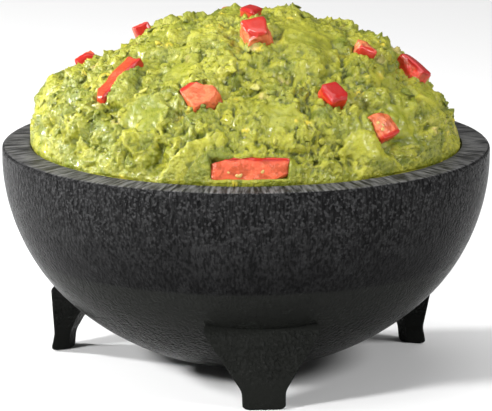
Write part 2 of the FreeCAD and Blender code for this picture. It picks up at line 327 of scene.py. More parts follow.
def charcoal_material():
    """Moulded charcoal plastic. The leather grain is coarse below the rim and on the upper legs,
    with painted highlights on the raised grain, and turns into fine upright streaks lower down. The
    body is painted lighter high on the wall and darker low down, as light from above falls. The rim's
    face is brushed outwards from the axis, and its light grey is partly painted sheen."""
    shader = Shader("charcoal_plastic")
    ramp, times, mix, noise, bump = shader.ramp, shader.times, shader.mix, shader.noise, shader.bump
    z = shader.add("SeparateXYZ", Vector=shader.place).outputs["Z"]
    facing = shader.add("NewGeometry").outputs["Normal"]
    upward = shader.add("SeparateXYZ", Vector=facing).outputs["Z"]

    outward = shader.vector_math("MULTIPLY", shader.place, _1=(1.0, 1.0, 0.0))
    radius = shader.vector_math("LENGTH", outward, "Value")
    bearing = shader.vector_math("NORMALIZE", outward)

    at_rim = times(ramp(z, (RIM - 2.4) * MM, (RIM - 1.6) * MM), ramp(upward, 0.80, 0.95))
    not_rim = shader.math("SUBTRACT", 1.0, at_rim, clamp=True)
    inside = times(ramp(radius, (HOLLOW_RADIUS + 1.0) * MM, HOLLOW_RADIUS * MM),
                   ramp(z, (RIM - 1.0) * MM, RIM * MM, 1.0, 0.0))

    # how strong the coarse grain and the streaks are at each height
    patches = ramp(noise(14.0, 2.0), 0.35, 0.65, 0.60, 1.0)
    wall = ramp(z, 0.055, 0.088, 0.22, 1.0)
    legs = times(ramp(z, 0.033, 0.030), ramp(z, 0.008, 0.016, 0.3, 1.0))
    coarse = times(shader.math("MAXIMUM", wall, legs), patches)
    coarse = times(coarse, not_rim)
    fine = times(ramp(z, 0.015, 0.055, 0.5, 1.0), not_rim)

    grains = shader.cells(PEBBLE_SIZE, "SMOOTH_F1", shader.stretched((1.0, 1.0, 0.85)))
    worm = noise(WORM_SIZE, 1.5, distortion=1.0)
    pebble = shader.math("SUBTRACT", times(worm, WORM_SHARE), grains)
    streak = noise(STREAK_SIZE, 3.0, shader.stretched((1.0, 1.0, 0.18)))
    grit = noise(GRIT_SIZE, 2.0)

    # the brushing varies round the rim and hardly at all across it
    around = shader.vector_math("SCALE", bearing, Scale=BOWL_RADIUS * MM)
    drift = shader.add("CombineXYZ", _2=times(radius, 0.15)).outputs["Vector"]
    brush = noise(BRUSH_SIZE, 3.0, shader.vector_math("ADD", around, _1=drift))

    normal = bump(pebble, PEBBLE_DEPTH, coarse)
    normal = bump(streak, STREAK_DEPTH, fine, normal)
    normal = bump(grit, GRIT_DEPTH, 0.7, normal)
    normal = bump(brush, BRUSH_DEPTH, at_rim, normal)

    tone = noise(9.0, 4.0)
    # painted light and shade: the body is lighter up the wall, where light from above falls, and darker
    # low down, with a random tone as well
    painted_light_and_tone = times(ramp(z, 0.015, 0.085, 0.06, 1.0), ramp(tone, 0.3, 0.7, 0.6, 1.0))
    streaks = ramp(streak, 0.40, 0.62, 0.35, 1.0)
    body = mix(times(painted_light_and_tone, streaks), CHARCOAL_DEEP, CHARCOAL_PAINTED_LIT)
    # painted highlights on the raised grain, strongest high on the wall and weak on the upper legs
    highlight_reach = shader.math("MAXIMUM", ramp(z, 0.035, 0.092, 0.06, 0.80), times(legs, 0.22))
    grain_highlights = times(times(ramp(pebble, -0.10, 0.16), coarse), highlight_reach)
    body = mix(grain_highlights, body, GRAIN_HIGHLIGHT)
    # the rim's brushed streaks, with their light grey partly painted sheen
    brushed_and_sheen = mix(ramp(brush, 0.35, 0.70), BRUSH_DARK, BRUSH_LIGHT)
    colour = mix(at_rim, body, brushed_and_sheen)
    colour = mix(times(inside, 0.6), colour, HOLLOW_COLOUR)
    rough = ramp(tone, 0.25, 0.75, 0.20, 0.30)
    rough = shader.math("ADD", rough, times(at_rim, 0.10))
    return shader.finish(Base_Color=colour, Roughness=rough, Normal=normal, IOR=CHARCOAL_IOR)


def rounded_corner(middle, radius, start, end, steps=7):
    """Radius and height of points on an arc between two angles in degrees."""
    return circle(np.radians(np.linspace(start, end, steps))) * radius + middle


BOWL_SEGMENTS = 512
BOWL_UNEVEN, RIM_UNEVEN = 0.12, 0.10  # how far the mould's faces wander


def make_bowl(material):
    """The thick shell, turned in one piece, with a little unevenness from the mould."""
    outside = bowl_cup.section(1.6, flat=BASE_RISE)
    flat_radius = outside[0, 0]
    under = [[flat_radius * share, outside[0, 1]] for share in (0.3, 0.7, 0.97)]
    band = [[BOWL_RADIUS, EQUATOR + 1.0]]
    outer_edge = rounded_corner([BOWL_RADIUS - RIM_ROUND, RIM - RIM_ROUND], RIM_ROUND, 0, 90)
    face = np.linspace(BOWL_RADIUS - RIM_ROUND, HOLLOW_RADIUS + LIP_ROUND, 10)[1:-1]
    face = np.stack([face, np.full(len(face), RIM)], axis=1)
    inner_edge = rounded_corner([HOLLOW_RADIUS + LIP_ROUND, RIM - LIP_ROUND], LIP_ROUND, 90, 180, 5)
    inner_band = [[HOLLOW_RADIUS, EQUATOR + 1.0]]
    hollow = hollow_cup.section(2.2)[::-1][:-1]
    section = np.concatenate([under, outside, band, outer_edge, face, inner_edge, inner_band, hollow])
    points = ring_points(section, BOWL_SEGMENTS)

    uneven = Noise(BOWL_SEED)
    radius = np.hypot(points[:, 0], points[:, 1])
    outer = smooth_step(flat_radius + 2, flat_radius + 20, radius)
    swell = BOWL_UNEVEN * uneven.layered(points, 42.0, 2) * outer
    points[:, :2] += unit(points[:, :2]) * swell[:, None]
    near_rim = smooth_step(RIM - 4.0, RIM, points[:, 2])
    points[:, 2] += RIM_UNEVEN * uneven(points + 200.0, 30.0) * near_rim
    points[:, 2] -= RIM_FALL * smooth_step(HOLLOW_RADIUS, BOWL_RADIUS, radius) * near_rim

    faces = ring_faces(len(section), BOWL_SEGMENTS)
    count = len(points)
    points = np.concatenate([points, [[0, 0, bowl_cup.low + BASE_RISE]], [[0, 0, hollow_cup.low]]])
    faces += fan(list(range(BOWL_SEGMENTS)), count, flip=True)
    faces += fan(list(range(count - BOWL_SEGMENTS, count)), count + 1)
    add_piece("bowl_shell", points, faces, "molcajete", material, ["bowl"])


# -------- legs

# Plan of a leg: height, outer face, inner face, outer width, inner width.
LEG_PLAN = np.array([
    (0.0, 86.3, 80.6, 19.6, 6.0), (7.5, 84.6, 80.0, 20.4, 6.5), (15.0, 82.8, 76.0, 30.0, 9.0),
    (30.5, 78.9, 62.0, 49.5, 18.0), (34.0, 74.3, 50.0, 48.5, 21.0), (36.0, 72.5, 46.0, 45.0, 22.0)])
LEG_SOFTEN = 1.4  # the plan is averaged over this height each way
LEG_OUTER_CORNER, LEG_INNER_CORNER = 0.7, 1.5
FOOT_ROUND = 2.0  # height of the rounding above the sole
FOOT_DRAW = np.array([1.0, -1.0, 7.0, 2.0])  # how far the sole is drawn in, in the plan's order
LEG_SUNK = 2.5  # how deep the root may lie in the belly
LEG_UNEVEN = 0.12
LEG_BEARINGS = {"leg_front": -90.0, "leg_right": 30.0, "leg_left": 150.0}


def level_plan(height):
    """The four measures of the leg at a height, a little softened where they change quickly."""
    around = height + np.linspace(-LEG_SOFTEN, LEG_SOFTEN, 7)
    return np.array([np.interp(around, LEG_PLAN[:, 0], side).mean() for side in LEG_PLAN[:, 1:].T])


def leg_plan(height, count):
    """A closed rounded outline of the leg at one height, as (outwards, sideways) points."""
    rise = 1.0 - min(height, FOOT_ROUND) / FOOT_ROUND
    drawn_in = 1.0 - sqrt(1.0 - rise * rise)
    outer, inner, wide, back = level_plan(height) - FOOT_DRAW * drawn_in
    corners = [(outer, -wide / 2, LEG_OUTER_CORNER), (outer, wide / 2, LEG_OUTER_CORNER),
               (inner, back / 2, LEG_INNER_CORNER), (inner, -back / 2, LEG_INNER_CORNER)]
    outline = []
    for index, (x, y, radius) in enumerate(corners):
        here = np.array([x, y])
        before = unit(np.array(corners[index - 1][:2]) - here)
        after = unit(np.array(corners[(index + 1) % 4][:2]) - here)
        turn = acos(np.clip(before @ after, -1, 1))
        trim = radius / tan(turn / 2)
        start, end = here + before * trim, here + after * trim
        for share in np.linspace(0, 1, count // 4):
            outline.append((1 - share) ** 2 * start + 2 * share * (1 - share) * here + share ** 2 * end)
    return np.array(outline)


def make_leg(name, material):
    """One leg: rounded sole, straight foot, and a broad root let a little into the belly."""
    count = 48
    heights = np.concatenate([
        [0.0, 0.12, 0.35, 0.7, 1.15, 1.7], np.linspace(2.6, 6.6, 5),
        [7.1, 7.6, 8.2], np.linspace(9.2, 28.6, 16), np.linspace(29.2, 36.0, 14)])
    points = np.concatenate([
        np.column_stack([leg_plan(height, count), np.full(count, height)]) for height in heights])
    face_side = smooth_step(78.0, 82.0, points[:, 0])
    points[:, 0] += LEG_UNEVEN * Noise(LEG_SEED)(points, 11.0) * face_side

    points = bowl_cup.keep_near(points @ turned_axes(radians(LEG_BEARINGS[name])), LEG_SUNK)
    sole, top = points[:count].mean(axis=0), points[-count:].mean(axis=0)
    top = bowl_cup.keep_near(top[None], LEG_SUNK)[0]
    faces = ring_faces(len(heights), count)
    first, last = list(range(count)), list(range(len(points) - count, len(points)))
    faces += fan(first, len(points), flip=True) + fan(last, len(points) + 1)
    points = np.concatenate([points, [sole], [top]])
    add_piece(name + "_moulded", points, faces, "molcajete", material, [name])


# -------- the heap's outline

# Radius and height above the rim's face, from the peak down to just inside the rim.
HEAP = np.array([
    (0, 55.5), (22, 52.8), (50, 41.2), (76, 25.5), (85.0, 13.0), (88.4, 0.6), (88.8, -7.0)])

# Broad swellings and hollows of the heap: bearing in degrees, reach, height, spread.
SWELLS = [
    (5, 50, 4.0, 16), (0, 78, -2.5, 12), (22, 22, 3.6, 12), (159, 63, -3.5, 13),
    (-78, 13, 2.0, 6), (-76, 54, -3.0, 5), (-95, 60, -3.0, 5), (-121, 85, -2.0, 4),
    (-65, 86, -2.0, 4), (-60, 48, 2.0, 7), (-104, 42, 2.0, 8), (167, 82, 4.0, 12), (-60, 33, 1.5, 14),
    (-140, 62, 1.2, 14), (-118, 78, 1.2, 10), (-45, 66, 1.6, 12), (15, 60, 1.5, 15),
    (60, 55, 1.5, 18), (115, 45, 1.5, 16), (-95, 58, -1.6, 9), (-28, 80, 0.8, 9),
    (-165, 80, 2.2, 9), (-72, 78, 0.8, 9),
]

# Parts that a spoon has smoothed: bearing, reach, spread.
SPOONED = [
    (-40, 32, 15), (-129, 76, 10), (-44, 82, 9), (-84, 74, 8), (-36, 66, 8),
    (60, 70, 14), (150, 50, 10), (100, 78, 12), (10, 70, 10),
]

# Slabs that lie over the rest: bearing and reach, half length and breadth, the length's turn
# from straight down the slope, and height.
FOLDS = [
    (-88, 75, 21, 11, 62, 3.0), (-129, 77, 15, 9, 48, 2.6), (-52, 40, 16, 12, -35, 2.0),
    (-40, 80, 14, 9, 20, 2.2), (-112, 50, 13, 8, -20, 2.2), (-155, 72, 11, 8, 10, 2.4),
    (-30, 60, 11, 8, 60, 1.8), (40, 64, 15, 10, 30, 2.4), (95, 68, 17, 10, -60, 2.4),
    (150, 74, 13, 9, 15, 2.2), (-170, 40, 13, 8, 70, 2.0),
]


def rounded(line, times):
    """A line with its corners cut again and again, which leaves a smooth curve."""
    for _ in range(times):
        near, far = line[:-1] * 0.75 + line[1:] * 0.25, line[:-1] * 0.25 + line[1:] * 0.75
        line = np.concatenate([line[:1], np.stack([near, far], axis=1).reshape(-1, 2), line[-1:]])
    return line


class Outline:
    """The heap's smooth section, measured along its length from the peak."""

    def __init__(self):
        self.line = rounded(HEAP, 4)
        steps = np.linalg.norm(np.diff(self.line, axis=0), axis=1)
        self.run = np.concatenate([[0.0], np.cumsum(steps)])

    def at(self, share):
        """Radius, height, and outward normal at a share of the length."""
        run = share * self.run[-1]
        radius, height = (np.interp(run, self.run, side) for side in self.line.T)
        ahead, behind = np.minimum(run + 1.0, self.run[-1]), np.maximum(run - 1.0, 0.0)
        along = [np.interp(ahead, self.run, side) - np.interp(behind, self.run, side)
                 for side in self.line.T]
        normal = unit(np.stack([-along[1], along[0]], axis=-1))
        return radius, height, normal


# -------- tomato pieces' places

class Block:
    """Where a piece of tomato lies: its middle, half sizes and axes, out of the heap last."""

    def __init__(self, name):
        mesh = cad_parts[name].data
        corners = np.array([vertex.co[:] for vertex in mesh.vertices]) / MM
        axes = []
        for polygon in mesh.polygons:
            normal = np.array(polygon.normal)
            if all(abs(normal @ axis) < 0.5 for axis in axes):
                axes.append(normal)
        self.middle = (corners.min(axis=0) + corners.max(axis=0)) / 2
        outwards = unit(self.middle - [0, 0, RIM - 20.0])
        axes.sort(key=lambda axis: abs(axis @ outwards))
        out = axes[2] * np.sign(axes[2] @ outwards)
        downhill = unit(np.array([*self.middle[:2], -60.0]))
        down = max(axes[:2], key=lambda axis: abs(axis @ downhill))
        down = down * np.sign(down @ downhill)
        self.axes = np.array([down, np.cross(out, down), out])
        reach = (corners - self.middle) @ self.axes.T
        self.half = np.abs(reach).max(axis=0)

    def inside(self, points):
        """Points in the block's own frame, in mm."""
        return (points - self.middle) @ self.axes.T


BLOCKS = {name: Block(name) for name in sorted(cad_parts) if name.startswith("tomato_")}


# -------- guacamole

GRID = 289  # vertices along each side of the square that is wrapped over the heap
GRID_INDEX = np.arange(GRID * GRID).reshape(GRID, GRID)

# Random lumps: how many, half length, half breadth, height, squareness, and lean.
SLABS = {"count": 110, "length": (8, 17), "breadth": (5, 10), "height": (0.8, 4.0),
         "power": 0.25, "lean": 0.4}
SMALL = {"count": 1500, "length": (2.4, 6.0), "breadth": (1.8, 4.2), "height": (0.7, 2.6),
         "power": 0.35, "lean": 0.4}
FOLD_POWER, FOLD_LEAN = 0.22, 0.35
BLOCK_SIZE, BIT_SIZE = 4.6, 2.3  # the two sizes of broken cells
CELL_AREA = 33000  # area of the heap that the cells are spread over
HOLE_INSET = 1.0  # the hole for a piece of tomato is smaller by this
HOLE_DEPTH = 0.8  # and at least this deep
BULGE = 0.6  # mash pushed up round the piece
FOOT_FULL = 1.6  # how much fuller the heap is close to the rim


def place_on_heap(bearing, reach):
    """The point of the plain heap at a bearing and reach, and the heap's normal there."""
    radius, height, slope = Outline().at(np.linspace(0.0, 1.0, 400))
    nearest = int(np.argmin(np.abs(radius - reach)))
    turn = radians(bearing)
    flat = np.array([cos(turn), sin(turn), 0.0])
    point = flat * radius[nearest] + [0.0, 0.0, RIM + height[nearest]]
    return point, unit(flat * slope[nearest][0] + [0.0, 0.0, slope[nearest][1]])


def heap_grid():
    """An even grid wrapped over the heap: points and normals."""
    side = np.linspace(-1.0, 1.0, GRID)
    u, v = (part.ravel() for part in np.meshgrid(side, side, indexing="ij"))
    x, y = u * np.sqrt(1 - v * v / 2), v * np.sqrt(1 - u * u / 2)
    share = np.minimum(np.hypot(x, y), 1.0)
    flat = unit(np.stack([x, y], axis=1))
    radius, height, slope = Outline().at(share)
    points = np.column_stack([flat * radius[:, None], RIM + height])
    normals = np.column_stack([flat * slope[:, :1], slope[:, 1]])
    return points, unit(normals)


class Lumps:
    """Overlapping slabs and lumps. Each hides what lies lower, which leaves creases."""

    def __init__(self, points, normals, seed):
        self.points, self.normals = points, normals
        self.order = np.argsort(points[:, 0])
        self.sorted_x = points[self.order, 0]
        self.source = np.random.default_rng(seed)

    def nothing(self):
        """Height and tone before any lump is laid."""
        return np.zeros(len(self.points)), np.full(len(self.points), 0.5)

    def lay(self, tall, tone, middle, normal, along, long, short, rise, shade, power, tilt):
        """Lays one lump on the others."""
        across = np.cross(normal, along)
        first, last = np.searchsorted(self.sorted_x, (middle[0] - long, middle[0] + long))
        near = self.order[first:last]
        offset = self.points[near] - middle
        a, b = offset @ along / long, offset @ across / short
        left = 1.0 - np.abs(a) ** 3 - np.abs(b) ** 3 - (offset @ normal / long) ** 2
        hit = left > 0
        near, left, a, b = near[hit], left[hit], a[hit], b[hit]
        level = rise * (left ** power) * (1.0 + tilt[0] * a + tilt[1] * b)
        top = level > tall[near]
        tall[near[top]] = level[top]
        tone[near[top]] = shade

    def field(self, count, length, breadth, height, power, lean):
        """Height over the surface and a random tone of the lump on top, for every point."""
        tall, tone = self.nothing()
        source = self.source
        for centre in source.integers(0, len(self.points), count):
            normal = self.normals[centre]
            along = unit(np.cross(normal, source.normal(size=3)))
            self.lay(tall, tone, self.points[centre], normal, along, source.uniform(*length),
                     source.uniform(*breadth), source.uniform(*height), source.uniform(), power,
                     source.uniform(-lean, lean, 2))
        return tall, tone

    def folds(self):
        """The listed slabs."""
        tall, tone = self.nothing()
        for bearing, reach, long, short, turn, rise in FOLDS:
            middle, normal = place_on_heap(bearing, reach)
            sideways = unit(np.cross([0.0, 0.0, 1.0], normal))
            down = np.cross(sideways, normal)
            turn = radians(turn)
            along = down * cos(turn) + sideways * sin(turn)
            self.lay(tall, tone, middle, normal, along, long, short, rise, self.source.uniform(),
                     FOLD_POWER, self.source.uniform(-FOLD_LEAN, FOLD_LEAN, 2))
        return tall, tone


def broken(points, size, seed):
    """Irregular cells: how far each point is from its cell's border, and the cell's two numbers."""
    source = np.random.default_rng(seed)
    count = int(CELL_AREA / size ** 2)
    seeds = points[source.integers(0, len(points), count)]
    seeds = seeds + source.normal(scale=0.25 * size, size=seeds.shape)
    tree = KDTree(count)
    for index, seed_point in enumerate(seeds):
        tree.insert(seed_point, index)
    tree.balance()
    border, cell = np.empty(len(points)), np.empty(len(points), dtype=int)
    for index, point in enumerate(points):
        (_, nearest, first), (_, _, second) = tree.find_n(point, 2)
        border[index], cell[index] = second - first, nearest
    level, tone = source.uniform(size=(2, count))
    return border, level[cell], tone[cell]


def blurred(values, reach):
    """Grid values averaged over a square of cells."""
    grid = values.reshape(GRID, GRID)
    for axis in (0, 1):
        padding = [(reach + 1, reach) if axis == line else (0, 0) for line in (0, 1)]
        total = np.cumsum(np.pad(grid, padding, mode="edge"), axis=axis)
        ahead = np.take(total, range(2 * reach + 1, total.shape[axis]), axis=axis)
        behind = np.take(total, range(total.shape[axis] - 2 * reach - 1), axis=axis)
        grid = (ahead - behind) / (2 * reach + 1)
    return grid.ravel()


def near_tomato(points):
    """How far each point is from the nearest hole for a piece of tomato, across the surface."""
    nearest = np.full(len(points), 99.0)
    for block in BLOCKS.values():
        local = np.abs(block.inside(points)) - (block.half - HOLE_INSET)
        apart = np.maximum(local[:, :2], 0.0)
        apart = np.linalg.norm(apart, axis=1) + np.maximum(local[:, 2] - 2.0, 0.0)
        nearest = np.minimum(nearest, apart)
    return nearest


def heap_shape():
    """The heap's displaced grid, and its tone, painted shade and smear values."""
    points, normals = heap_grid()
    noise, coarse = Noise(HEAP_SEED), Noise(BROAD_SEED)
    warped = points + 1.7 * noise.vectors(points, 9.0) + 0.8 * noise.vectors(points + 400.0, 3.2)
    above = points[:, 2] - RIM

    smear = 0.7 * smooth_step(0.25, 0.60, coarse(points, 20.0))
    for bearing, reach, spread in SPOONED:
        middle, _ = place_on_heap(bearing, reach)
        apart = np.linalg.norm(warped - middle, axis=1)
        smear = np.maximum(smear, 1.0 - smooth_step(0.7, 1.15, apart / spread))
    smear *= smooth_step(0.0, 4.0, above)
    rough = 1.0 - 0.82 * smear

    lumps = Lumps(warped, normals, LUMP_SEED)
    slab, slab_tone = lumps.field(**SLABS)
    fold, fold_tone = lumps.folds()
    lump, _ = lumps.field(**SMALL)
    block_border, block_level, block_tone = broken(warped, BLOCK_SIZE, BLOCK_SEED)
    shifted = warped + 0.4 * noise.vectors(points, 1.8)
    bit_border, bit_level, bit_tone = broken(shifted, BIT_SIZE, BIT_SEED)

    on_top = fold > slab
    base = np.where(on_top, fold, slab)
    blocks = (block_level - 0.5) * 1.8 * smooth_step(0.0, 1.1, block_border)
    blocks -= 1.1 * np.exp(-(block_border / 0.75) ** 2)
    bits = (bit_level - 0.5) * 0.9 * smooth_step(0.0, 0.6, bit_border)
    bits -= 0.45 * np.exp(-(bit_border / 0.5) ** 2)
    strokes = noise.layered(warped * [1.0, 1.0, 0.4], 3.0, 3)
    pits = smooth_step(0.28, 0.55, noise(points + 80.0, 6.0)) * rough
    folded = 2.0 * np.abs(noise(warped, 6.0)) + 1.7 * np.abs(noise(warped + 31.0, 2.9))
    folded += 1.1 * np.abs(noise(points + 57.0, 1.7))
    rough *= 0.55 + 0.60 * smooth_step(-0.35, 0.35, noise(points + 90.0, 15.0))
    height = base + (0.5 * lump + 0.8 * blocks + bits + folded) * rough
    height += 0.45 * strokes * smear + 1.7 * coarse.layered(points, 17.0, 3) - 1.5 * pits - 2.2
    for bearing, reach, rise, spread in SWELLS:
        turn = radians(bearing)
        middle = np.array([reach * cos(turn), reach * sin(turn)])
        apart = np.linalg.norm(points[:, :2] - middle, axis=1)
        height += rise * np.exp(-(apart / spread) ** 2)

    # near the bowl the heap is flatter and fuller, and it gives way around the pieces of tomato
    height *= 0.35 + 0.65 * smooth_step(0.0, 9.0, above)
    height += FOOT_FULL * (1.0 - smooth_step(0.0, 10.0, above))
    apart = near_tomato(points)
    under = 1.0 - smooth_step(0.0, 0.5, apart)
    height = height * (1.0 - under) + np.minimum(height, -HOLE_DEPTH) * under
    height += BULGE * np.exp(-((apart - 1.2) / 1.1) ** 2)

    slip = 0.7 * noise.vectors(points + 700.0, 3.6) * smooth_step(1.0, 8.0, above)[:, None]
    moved = points + normals * height[:, None] + slip * rough[:, None]
    # painted shade: how far each point lies below the mash round about, kept off the pieces of tomato
    crease_shade = (blurred(height, 3) - height) * smooth_step(0.5, 3.5, apart)
    tone = 0.35 * np.where(on_top, fold_tone, slab_tone) + 0.35 * block_tone + 0.3 * bit_tone
    tone = tone * rough + (0.6 * slab_tone + 0.2) * (1.0 - rough)
    return moved, normals, {"tone": tone, "crease_shade": crease_shade, "smear": smear}


CHUNKS = 800  # loose crumbs of avocado on the heap
TUCKED = 170  # more of them close round the pieces of tomato
CRUMB_SMALLEST, CRUMB_RANGE = 0.55, 1.7  # mean radius of the smallest, and what the largest adds
CRUMB_CUTS = 4  # flat faces cut on each crumb


def make_crumbs(heap, normals, values, material):
    """Cut crumbs of avocado, half sunk in the mash, each a small closed many-sided lump."""
    source, noise = np.random.default_rng(CRUMB_SEED), Noise(CRUMB_SHAPE_SEED)
    mesh = bmesh.new()
    bmesh.ops.create_icosphere(mesh, subdivisions=2, radius=1.0)
    ball = np.array([vertex.co[:] for vertex in mesh.verts])
    ball_faces = np.array([[vertex.index for vertex in face.verts] for face in mesh.faces])
    mesh.free()

    # places: mostly where the mash is rough, and clear of the tomato and of the bowl
    radius = np.hypot(heap[:, 0], heap[:, 1])
    apart = near_tomato(heap)
    clear = (radius > 20.0) & (radius < 85.0) & (heap[:, 2] > RIM + 3.0)
    good = clear & (apart > 2.2)
    leftness = smooth_step(40.0, -70.0, heap[:, 0])
    chance = good * (0.04 + (1.0 - values["smear"]) ** 2) * (0.35 + leftness)
    loose = source.choice(len(heap), CHUNKS, replace=False, p=chance / chance.sum())
    close = np.flatnonzero(clear & (apart > 0.3) & (apart < 1.6))
    chosen = np.concatenate([loose, source.choice(close, TUCKED, replace=False)])
    count = len(chosen)
    sizes = CRUMB_SMALLEST + CRUMB_RANGE * source.power(0.5, count)[:, None]

    shape = ball[None] * np.ones((count, 1, 1))
    shift = source.uniform(-50, 50, (count, 1, 3))
    shape *= 1.0 + 0.55 * noise((shape * 1.2 + shift).reshape(-1, 3), 1.0).reshape(count, -1, 1)
    for _ in range(CRUMB_CUTS):
        cut = unit(source.normal(size=(count, 1, 3)))
        over = (shape * cut).sum(axis=2, keepdims=True) - source.uniform(0.35, 0.7, (count, 1, 1))
        shape = shape - np.maximum(over, 0.0) * cut
    out = normals[chosen]
    along = unit(np.cross(out, source.normal(size=out.shape)))
    across = np.cross(out, along)
    stretch = source.uniform((0.9, 0.6, 0.5), (1.7, 1.1, 1.0), (count, 3))[:, None]
    shape = shape * stretch * sizes[:, None]
    axes = np.stack([along, across, out], axis=1)
    lift = source.uniform(-0.55, 0.05, (count, 1)) * sizes
    points = shape @ axes + (heap[chosen] + out * lift)[:, None]

    faces = (ball_faces[None] + len(ball) * np.arange(count)[:, None, None]).reshape(-1, 3)
    tone = np.repeat(np.clip(values["tone"][chosen] + source.normal(0.04, 0.15, count), 0, 1),
                     len(ball))
    # painted shade: each crumb is darker the lower it sits in the mash
    depth = (shape[:, :, 2] + lift).ravel()
    spread = {"tone": tone, "crease_shade": 0.7 - 0.9 * depth, "smear": np.zeros(len(tone))}
    add_piece("guacamole_crumbs", points.reshape(-1, 3), faces.tolist(), "filling",
              material, ["guacamole"], spread)


def halved_strip(outer, inner):
    """Triangles from a ring of vertices down to one of half as many."""
    faces = []
    for index, here in enumerate(inner):
        there = inner[(index + 1) % len(inner)]
        left, middle = outer[2 * index], outer[2 * index + 1]
        right = outer[(2 * index + 2) % len(outer)]
        faces += [(left, here, middle), (middle, here, there), (middle, there, right)]
    return faces


def grid_border():
    """The grid's border vertices in order round the heap."""
    last, index = GRID - 1, GRID_INDEX
    steps = range(last)
    border = [index[last, i] for i in steps] + [index[last - i, last] for i in steps]
    border += [index[0, last - i] for i in steps] + [index[i, 0] for i in steps]
    return [int(vertex) for vertex in border]


HALVINGS = 2  # rings below the heap that each have half the vertices of the last
DEEPEST_DENT = 2.5
# the pressed mash below the rim gets a little painted shade
PRESSED_VALUES = {"tone": 0.45, "crease_shade": 0.15, "smear": 0.4}


def make_guacamole(material):
    """The whole filling: the heap, and below the rim the mash pressed against the hollow."""
    points, normals, values = heap_shape()
    make_crumbs(points, normals, values, material)
    high = RIM + 0.4
    radius = np.hypot(points[:, 0], points[:, 1])
    limit = np.where(points[:, 2] > high, HOLLOW_RADIUS + 0.3, HOLLOW_RADIUS - FOOD_GAP)
    points[:, :2] *= np.minimum(1.0, limit / np.maximum(radius, 1e-6))[:, None]

    index = GRID_INDEX
    corners = (index[:-1, :-1], index[1:, :-1], index[1:, 1:], index[:-1, 1:])
    faces = np.stack([corner.ravel() for corner in corners], axis=1).tolist()

    ring = grid_border()
    section = food_cup.section(3.4)[::-1][1:-1]
    blocks, total = [points], len(points)
    bearing = np.arctan2(points[ring, 1], points[ring, 0])
    for number, (reach, height) in enumerate(section):
        halve = number < HALVINGS
        bearing = bearing[::2] if halve else bearing
        level = np.column_stack([reach * circle(bearing), np.full(len(bearing), height)])
        fresh = list(range(total, total + len(level)))
        if halve:
            faces += halved_strip(ring, fresh)
        else:
            pairs = zip(ring, ring[1:] + ring[:1], fresh, fresh[1:] + fresh[:1])
            faces += [(a, c, d, b) for a, b, c, d in pairs]
        blocks.append(level)
        ring, total = fresh, total + len(level)
    faces += fan(ring, total, flip=True)
    blocks.append(np.array([[0.0, 0.0, food_cup.low]]))

    pressed = np.concatenate(blocks[1:])
    noise = Noise(PRESSED_SEED)
    inwards = unit(pressed - [0, 0, EQUATOR])
    dents = 0.5 + 0.5 * noise.layered(pressed, 7.0, 3) + smooth_step(0.3, 0.7, noise(pressed, 12.0))
    pressed -= inwards * np.clip(dents, 0.0, DEEPEST_DENT)[:, None]
    points = np.concatenate([points, pressed])
    values = padded(values, len(pressed), PRESSED_VALUES)
    add_piece("guacamole_heap", points, faces, "filling", material,
              ["guacamole"], values)


MASH_DARK, MASH_LIGHT = (0.130, 0.160, 0.006), (0.375, 0.365, 0.026)
MASH_YELLOW, MASH_PALE = (0.64, 0.50, 0.035), (0.66, 0.62, 0.20)
# the dark green is painted shade for the creases
MASH_BLUSH, MASH_CREASE_SHADE = (0.62, 0.44, 0.20), (0.070, 0.095, 0.004)
MASH_SCATTER = (1.0, 0.9, 0.25)


def guacamole_material():
    """Mashed avocado: yellow-green with paler and yellower bits, and dark green painted shade in its
    creases.
    """
    shader = Shader("guacamole")
    ramp, times, mix, noise, bump = shader.ramp, shader.times, shader.mix, shader.noise, shader.bump
    tone, crease_shade, smear = (shader.value(name) for name in ("tone", "crease_shade", "smear"))
    flecks = noise(2.0, 4.0)
    broad = noise(15.0, 3.0)
    share = shader.math("ADD", times(tone, 0.75), times(flecks, 0.45))
    share = shader.math("ADD", share, times(broad, 0.35))
    colour = mix(ramp(share, 0.45, 1.05), MASH_DARK, MASH_LIGHT)
    yellow = ramp(shader.cells(12.0), 0.22, 0.10)
    yellow = times(yellow, ramp(flecks, 0.40, 0.55))
    colour = mix(times(yellow, 0.8), colour, MASH_YELLOW)
    pale = ramp(share, 0.98, 1.25)
    colour = mix(times(pale, 0.6), colour, MASH_PALE)
    blush = ramp(shader.cells(19.0, vector=shader.stretched((1.0, 1.1, 0.9))), 0.17, 0.08)
    blush = times(blush, ramp(broad, 0.42, 0.58))
    colour = mix(times(blush, 0.55), colour, MASH_BLUSH)
    # painted shade: dark green where the mash lies lower than the mash round about
    deep = ramp(crease_shade, 0.0, 1.2)
    colour = mix(times(deep, 0.80), colour, MASH_CREASE_SHADE)
    grain = noise(0.9, 4.0, distortion=0.6)
    lumps = shader.cells(1.7, "SMOOTH_F1")
    normal = bump(lumps, 0.90, ramp(smear, 0.0, 0.8, 1.0, 0.2))
    normal = bump(grain, 0.65, ramp(smear, 0.0, 1.0, 1.0, 0.5), normal)
    rough = ramp(flecks, 0.3, 0.7, 0.24, 0.48)
    return shader.finish(
        Base_Color=colour, Roughness=rough, Normal=normal, Subsurface_Weight=0.12,
        Subsurface_Scale=0.002, Subsurface_Radius=MASH_SCATTER, Specular_IOR_Level=0.45,
        Coat_Weight=0.22, Coat_Roughness=0.10)


# -------- tomato

